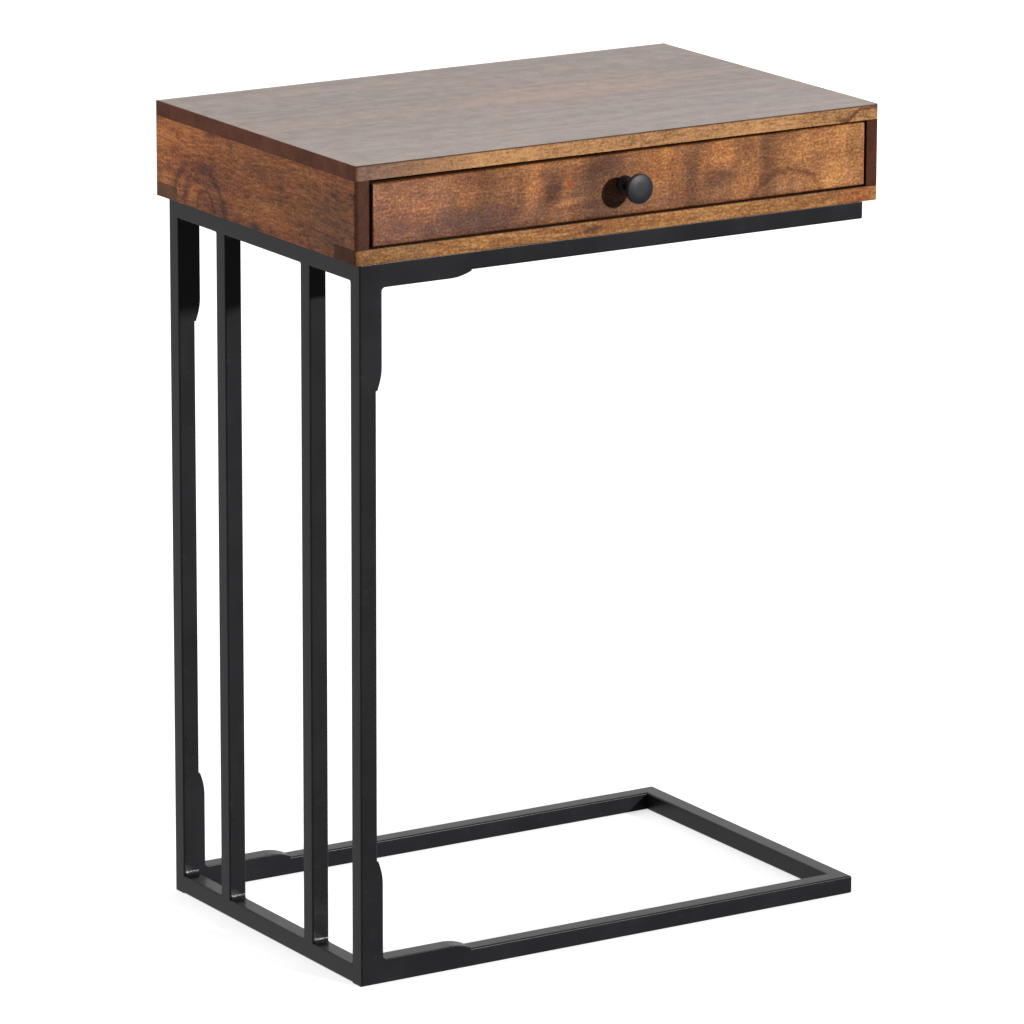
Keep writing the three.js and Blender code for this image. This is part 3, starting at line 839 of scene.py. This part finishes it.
def side_panel(node, material):
    """A side board, notched at the bottom over the front and rear rails."""
    low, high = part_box(node)
    rail_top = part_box("front_bottom_rail")[1].z
    notch_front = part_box("front_bottom_rail")[1].y
    notch_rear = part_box("rear_bottom_rail")[0].y
    panel = block(node + "_board", (low.x, low.y, rail_top), high)
    cut_across(panel, ((0, notch_front, 0), Y_AXIS), ((0, notch_rear, 0), Y_AXIS))

    def between_the_notches(at, normal):
        return normal.z < -0.9 and notch_front < at.y < notch_rear

    push_faces(panel, between_the_notches, (0, 0, low.z - rail_top))
    outer_rounding(panel)
    return stands_for(panel, material, "table", node)


def inner_block(node, material, body="table"):
    low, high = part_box(node)
    piece = block(node + "_piece", low, high)
    ease(piece, BLOCK_EASE, segments=3)
    return stands_for(piece, material, body, node)


case_board("top_board", top_wood)
case_board("back_panel", rail_finish("back_panel"))
case_board("front_bottom_rail", rail_finish("front_bottom_rail"))
case_board("rear_bottom_rail", rail_finish("rear_bottom_rail"))
side_panel("left_side_panel", left_side_wood)
side_panel("right_side_panel", right_side_wood)
for side in ("left", "right"):
    inner_block(side + "_runner", inner_wood_y)
    inner_block(side + "_stop_block", inner_wood_y)
inner_block("catch_block", inner_wood_x)


# ------------------------------------------------------------------ the drawer
floor_low, floor_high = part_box("drawer_bottom")
groove_low = floor_low.z - GROOVE_SLACK
groove_high = floor_high.z + GROOVE_SLACK


def drawer_front():
    """Tapers a little in height, is rounded in front and grooved behind for the drawer's floor."""
    low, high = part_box("drawer_front")
    board = block("drawer_front_board", low, high)
    corners = [v.co for v in frame["nodes"]["drawer_front"].data.vertices if v.co.x < low.x + NEAR]
    left_top = max(corner.z for corner in corners)
    with editing(board, "VERT"):
        pick(board, "verts", lambda at: at.x < 0 and at.z > (low.z + high.z) / 2)
        bpy.ops.transform.translate(value=(0, 0, left_top - high.z))
    round_edges(board, lambda at: at.y < low.y + NEAR, DRAWER_ARRIS, 5)
    ease(board, DRAWER_FRONT_EASE, segments=3)
    left_end = floor_low.x - GROOVE_SLACK
    right_end = floor_high.x + GROOVE_SLACK
    cut_across(
        board,
        ((left_end, 0, 0), X_AXIS),
        ((right_end, 0, 0), X_AXIS),
        ((0, 0, groove_low), Z_AXIS),
        ((0, 0, groove_high), Z_AXIS),
    )

    def in_groove(at, normal):
        return normal.y > 0.9 and left_end < at.x < right_end and groove_low < at.z < groove_high

    push_faces(board, in_groove, (0, -GROOVE_DEPTH, 0))
    return stands_for(board, front_wood, "drawer", "drawer_front")


def drawer_side(node, outer, inner):
    """A side with its groove, drawn as a section and swept from front to back."""
    low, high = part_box(node)
    into = (outer - inner) / abs(outer - inner) * GROOVE_DEPTH
    section = [
        (outer, low.z),
        (inner, low.z),
        (inner, groove_low),
        (inner + into, groove_low),
        (inner + into, groove_high),
        (inner, groove_high),
        (inner, high.z),
        (outer, high.z),
    ]
    piece = prism(node + "_piece", [Vector((x, low.y, z)) for x, z in section], (0, high.y - low.y, 0))

    def on_top(at):
        return at.z > high.z - NEAR and low.y < at.y - NEAR < high.y - 2 * NEAR

    round_edges(piece, on_top, DRAWER_SIDE_TOP, 3)
    ease(piece, DRAWER_SIDE_EASE, segments=2)
    return stands_for(piece, inner_wood_y, "drawer", node)


def drawer_panel(node, material):
    low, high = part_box(node)
    piece = block(node + "_piece", low, high)
    ease(piece, DRAWER_PANEL_EASE, segments=2)
    return stands_for(piece, material, "drawer", node)


drawer_front()
for side, (near, far) in (("left", (0, 1)), ("right", (1, 0))):
    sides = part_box("drawer_" + side + "_side")
    drawer_side("drawer_" + side + "_side", sides[near].x, sides[far].x)
drawer_panel("drawer_back", inner_wood_x)
drawer_panel("drawer_bottom", ply_wood)


def knob():
    """A turned mushroom knob: flange, waisted neck and a low domed head."""
    low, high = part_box("knob")
    x, z = (low.x + high.x) / 2, (low.z + high.z) / 2
    head = (high.x - low.x) / 2
    reach = high.y - low.y
    flange = 0.6 * head
    outline = [
        ((0, 0), 0),
        ((flange, 0), 0.2 * MM),
        ((flange, 0.09 * reach), 1 * MM),
        ((0.4 * head, 0.14 * reach), 1.0 * MM),
        ((0.31 * head, 0.30 * reach), 2.0 * MM),
        ((0.33 * head, 0.55 * reach), 2.4 * MM),
        ((0.82 * head, 0.75 * reach), 2.0 * MM),
        ((head, 0.82 * reach), 0.5 * MM),
        ((head, 0.93 * reach), 0.9 * MM),
        ((0.66 * head, 0.99 * reach), 3.4 * MM),
        ((0.0, reach), 0),
    ]
    places = [(Vector((x + across, -out + high.y, z)), soft) for (across, out), soft in outline]
    piece = turned("knob_piece", with_round_corners(places, 8), (x, 0, z), Y_AXIS)
    smooth(piece, angle=50)
    return stands_for(piece, knob_black, "drawer", "knob")


knob()


# ------------------------------------------------------------------ screws
def screw(node, axis, head_end):
    """A round-headed screw with a cross recess. head_end, 0 or 1, is the end of its box with the head."""
    low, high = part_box(node)
    k = axis.index(1)
    other = (k + 1) % 3
    head = (high[other] - low[other]) / 2
    length = high[k] - low[k]
    height = head * 0.62
    shank = head * 0.5
    outline = [
        ((0, 0), 0),
        ((head * 0.62, 0.0), head * 0.3),
        ((head, height * 0.6), head * 0.2),
        ((head, height), 0),
        ((shank, height), 0),
        ((shank, length * 0.85), 0),
        ((0, length), 0),
    ]
    places = [(Vector((across, 0, up)), soft) for (across, up), soft in outline]
    piece = turned(node + "_piece", with_round_corners(places, 4), (0, 0, 0), Z_AXIS, 32)
    arm = head * 0.55
    half = head * 0.11
    cross = []
    quarter = [(arm, half), (half, half), (half, arm)]
    for _ in range(4):
        cross += quarter
        quarter = [(-b, a) for a, b in quarter]
    places = [Vector((a, b, -head)) for a, b in cross]
    cutter = prism(node + "_recess", places, (0, 0, head + height * 0.6))
    activate(piece)
    recess = piece.modifiers.new("recess", "BOOLEAN")
    recess.object = cutter
    recess.operation = "DIFFERENCE"
    bpy.ops.object.modifier_apply(modifier="recess")
    bpy.data.objects.remove(cutter)
    middle = (low + high) / 2
    middle[k] = (low, high)[head_end][k]
    facing = {(2, 0): (0, 0, 0), (1, 1): (math.radians(90), 0, 0)}[(k, head_end)]
    placed(piece, middle, facing)
    smooth(piece, angle=35)
    return stands_for(piece, zinc, "drawer" if node == "knob_screw" else "table", node)


for node in subparts:
    if node.startswith(("tab_screw", "catch_screw")):
        screw(node, Z_AXIS, 0)
screw("knob_screw", Y_AXIS, 1)


# ------------------------------------------------------------------ the frame
frame_left, frame_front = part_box("top_left_rail")[0].x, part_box("top_front_rail")[0].y
frame_right, frame_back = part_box("top_right_rail")[1].x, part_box("top_rear_rail")[1].y
frame_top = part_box("top_front_rail")[1].z
tube_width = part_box("base_front_rail")[1].z


def tube(node, *mitres):
    """A square tube with rounded corners. Each mitre is a point on its plane and the outward normal.
    A tube with no mitre runs on under its neighbours' rounded corners, where it is welded to them."""
    low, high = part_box(node)
    low, high = Vector(low), Vector(high)
    size = high - low
    along = max(range(3), key=lambda k: size[k])
    if mitres:
        for point, normal in mitres:
            (high if normal[along] > 0 else low)[along] = point[along]
    else:
        low[along] -= TUBE_CORNER + FIT_GAP
        high[along] += TUBE_CORNER + FIT_GAP
    bar = block(node + "_tube", low, high)
    middle = (low + high) / 2
    across = [k for k in range(3) if k != along]
    round_edges(bar, lambda at: all(abs(at[k] - middle[k]) > NEAR for k in across), TUBE_CORNER, 4)
    for point, normal in mitres:
        with editing(bar):
            bpy.ops.mesh.select_all(action="SELECT")
            bpy.ops.mesh.bisect(plane_co=point, plane_no=normal, clear_outer=True, use_fill=True)
    close_up(bar)
    smooth(bar)
    return stands_for(bar, black_steel, "table", node)


for level, z, up in (("top", frame_top, 1), ("base", 0.0, -1)):
    for end, y, facing in (("front", frame_front, 1), ("rear", frame_back, -1)):
        left_mitre = ((frame_left, y, z), (-1, 0, -up))
        right_mitre = ((frame_right, y, z), (1, facing, 0))
        tube(level + "_" + end + "_rail", left_mitre, right_mitre)
    front_mitre = ((frame_right, frame_front, z), (-1, -1, 0))
    rear_mitre = ((frame_right, frame_back, z), (-1, 1, 0))
    tube(level + "_right_rail", front_mitre, rear_mitre)
    tube(level + "_left_rail")
for end, y in (("front", frame_front), ("rear", frame_back)):
    tube(end + "_post", ((frame_left, y, frame_top), (1, 0, 1)), ((frame_left, y, 0), (1, 0, -1)))
    tube("inner_" + end + "_post")


def brace(node, corner_z, down):
    """A flat bar bent into the C's corner, welded flush, with feathered ends. down is -1 below a rail."""
    low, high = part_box(node)
    x = frame_left + tube_width
    leg = high.x - low.x
    thick = BRACE_THICKNESS

    def spot(along, out):
        return Vector((x + along, low.y, corner_z + down * out))

    # Its back runs on under the tubes' rounded corners, as the welded and painted joint does.
    under = -TUBE_CORNER
    outline = [
        (spot(under, under), 0),
        (spot(leg, under), 0),
        (spot(leg, BRACE_TIP), 0),
        (spot(leg - BRACE_TAPER, thick), BRACE_SHOULDER),
        (spot(thick, thick), BRACE_BEND),
        (spot(thick, leg - BRACE_TAPER), BRACE_SHOULDER),
        (spot(BRACE_TIP, leg), 0),
        (spot(under, leg), 0),
    ]
    piece = prism(node + "_bar", with_round_corners(outline, 7), (0, high.y - low.y, 0))

    def on_flush_side(at):
        flush = min(abs(at.y - low.y), abs(at.y - high.y)) < NEAR
        return flush and at.x > x + NEAR and down * (at.z - corner_z) > NEAR

    round_edges(piece, on_flush_side, BRACE_ARRIS, 3)
    smooth(piece)
    return stands_for(piece, black_steel, "table", node)


for end in ("front", "rear"):
    brace("upper_" + end + "_brace", frame_top - tube_width, -1)
    brace("lower_" + end + "_brace", tube_width, 1)


def weld(name, corner, along, up):
    """A fillet of weld in the corner between a post's side and a rail, along X. along and up are 1 or -1."""
    leg = WELD_LEG
    length = tube_width - 2 * TUBE_CORNER
    corner = Vector(corner)
    outline = [
        (corner - Vector((0, along, up)) * 0.3 * MM, 0),
        (corner + Vector((0, along, 0)) * leg, 0),
        (corner + Vector((0, along * WELD_HOLLOW, up * WELD_HOLLOW)) * leg, leg * 0.72),
        (corner + Vector((0, 0, up)) * leg, 0),
    ]
    bead = prism(name, with_round_corners(outline, 6), (length, 0, 0))
    with editing(bead):
        pick(bead, "faces", lambda at, normal: abs(normal.x) > 0.9)
        bpy.ops.mesh.inset(thickness=WELD_END_STEP)
    smooth(bead, angle=60)
    return stands_for(bead, weld_steel, "table", slot="black_steel")


def frame_welds():
    x = frame_left + TUBE_CORNER
    levels = (("top", frame_top - tube_width, -1), ("base", tube_width, 1))
    for level, z, up in levels:
        for post in ("front_post", "inner_front_post", "inner_rear_post", "rear_post"):
            low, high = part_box(post)
            if post != "front_post":
                weld(level + "_" + post + "_weld_front", (x, low.y, z), -1, up)
            if post != "rear_post":
                weld(level + "_" + post + "_weld_rear", (x, high.y, z), 1, up)


frame_welds()

# ------------------------------------------------------------------ what keeps its CAD shape
for node, obj in frame["nodes"].items():
    obj.data.materials.clear()
    obj.data.materials.append(zinc if subparts[node]["material_slot"] == "zinc" else black_steel)

# ------------------------------------------------------------------ floor, light and camera
def studio_floor():
    pale = Finish("floor")
    speck = noise(pale.tree, pale.place, 3.0, detail=2)
    pale.set(
        Base_Color=blend(pale.tree, speck, (0.84, 0.84, 0.84, 1), (0.86, 0.86, 0.86, 1)),
        Roughness=0.9,
        Emission_Color=(1, 1, 1, 1),
        Emission_Strength=0.68,
    )
    deselect()
    bpy.ops.mesh.primitive_plane_add(size=60, location=(0, 0, -0.2 * MM))
    floor = bpy.context.object
    floor.name = "floor"
    floor.data.materials.append(pale.material)
    floor.visible_diffuse = False
    floor.visible_glossy = False


def studio():
    """A bright sweep behind the table and a dim room in front of it."""
    world = bpy.data.worlds.new("studio")
    bpy.context.scene.world = world
    world.use_nodes = True
    tree = world.node_tree
    tree.nodes.clear()
    direction = add_node(tree, "ShaderNodeTexCoord").outputs["Generated"]
    parts = add_node(tree, "ShaderNodeSeparateXYZ")
    feed(tree, parts.inputs[0], direction)
    sweep = remap(tree, parts.outputs[2], -0.1, 0.15, 0.76, 1.05, soft=True)
    level = remap(tree, parts.outputs[1], -0.25, 0.35, 0.185, sweep, soft=True)
    seen = add_node(tree, "ShaderNodeLightPath").outputs["Is Camera Ray"]
    background = add_node(tree, "ShaderNodeBackground")
    feed(tree, background.inputs["Strength"], remap(tree, seen, 0, 1, level, 1.0))
    output = add_node(tree, "ShaderNodeOutputWorld")
    feed(tree, output.inputs["Surface"], background.outputs[0])


def from_angles(azimuth, elevation):
    """The direction towards an azimuth and elevation; azimuth 0 is the front and 90 the right."""
    a, e = math.radians(azimuth), math.radians(elevation)
    return Vector((math.sin(a) * math.cos(e), -math.cos(a) * math.cos(e), math.sin(e)))


def key_light(azimuth, elevation, strength, spread):
    lamp = bpy.data.lights.new("key", "SUN")
    lamp.energy = strength
    lamp.angle = math.radians(spread)
    obj = bpy.data.objects.new("key", lamp)
    obj.rotation_mode = "QUATERNION"
    obj.rotation_quaternion = from_angles(azimuth, elevation).to_track_quat("Z", "Y")
    bpy.context.scene.collection.objects.link(obj)


def camera(azimuth, elevation, roll, distance, target, lens):
    back = from_angles(azimuth, elevation)
    right = Vector((math.cos(math.radians(azimuth)), math.sin(math.radians(azimuth)), 0))
    facing = Matrix((right, back.cross(right), back)).transposed().to_4x4()
    lean = Matrix.Rotation(math.radians(roll), 4, "Z")
    data = bpy.data.cameras.new("camera")
    data.sensor_width = 36
    data.lens = lens
    data.clip_end = 100
    obj = bpy.data.objects.new("camera", data)
    obj.matrix_world = Matrix.Translation(Vector(target) + back * distance) @ facing @ lean
    bpy.context.scene.collection.objects.link(obj)
    bpy.context.scene.camera = obj


studio_floor()
studio()
key_light(azimuth=22, elevation=14.5, strength=3.1, spread=2.5)
camera(
    azimuth=-32.024,
    elevation=14.433,
    roll=0.165,
    distance=5.2595,
    target=(-0.102, -0.1455, 0.3692),
    lens=235.81,
)
bpy.context.scene.view_settings.view_transform = "Standard"
